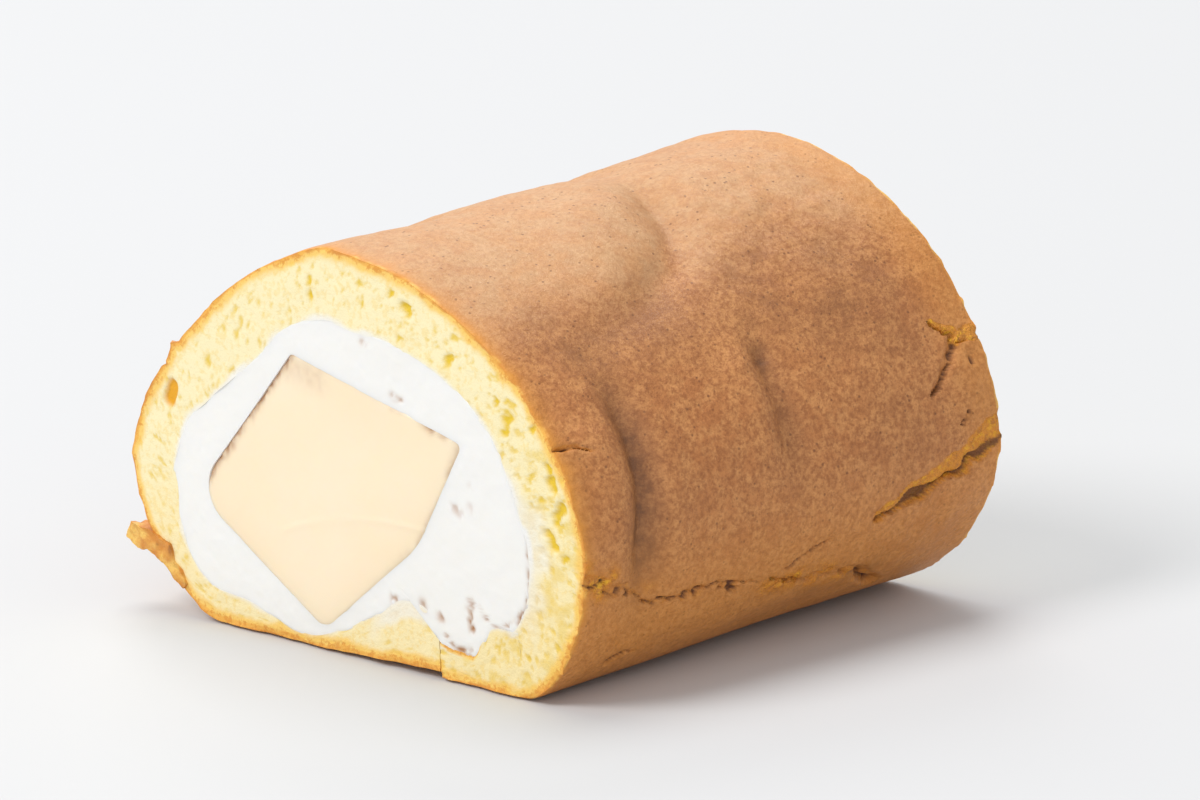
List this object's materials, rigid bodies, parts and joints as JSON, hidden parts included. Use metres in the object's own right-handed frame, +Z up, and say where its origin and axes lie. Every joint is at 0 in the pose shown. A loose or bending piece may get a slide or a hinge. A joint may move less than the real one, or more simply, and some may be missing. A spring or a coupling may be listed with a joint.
{
  "type": "swiss roll cake",
  "caption": "Thick swiss roll cake: a browned sponge sheet rolled round whipped cream and a block of custard, cut flat at both ends.",
  "frame": {"origin": "on the surface that the roll rests on, under the middle of its box", "axes": "+Z up; +Y along the roll from the front cut to the back cut; +X across the roll, to the right as seen from the front cut"},
  "size_m": [0.1425, 0.097, 0.0862],
  "materials": {
    "crust": "matt browned sponge crust with fine dark specks; pale yellow open crumb on the cuts and in the cracks",
    "cream": "soft white whipped cream with a smooth knife-cut face",
    "custard": "smooth, slightly moist pale custard"
  },
  "bodies": {
    "root": {"sponge": "crust", "cream": "cream", "custard": "custard"}
  },
  "joints": []
}
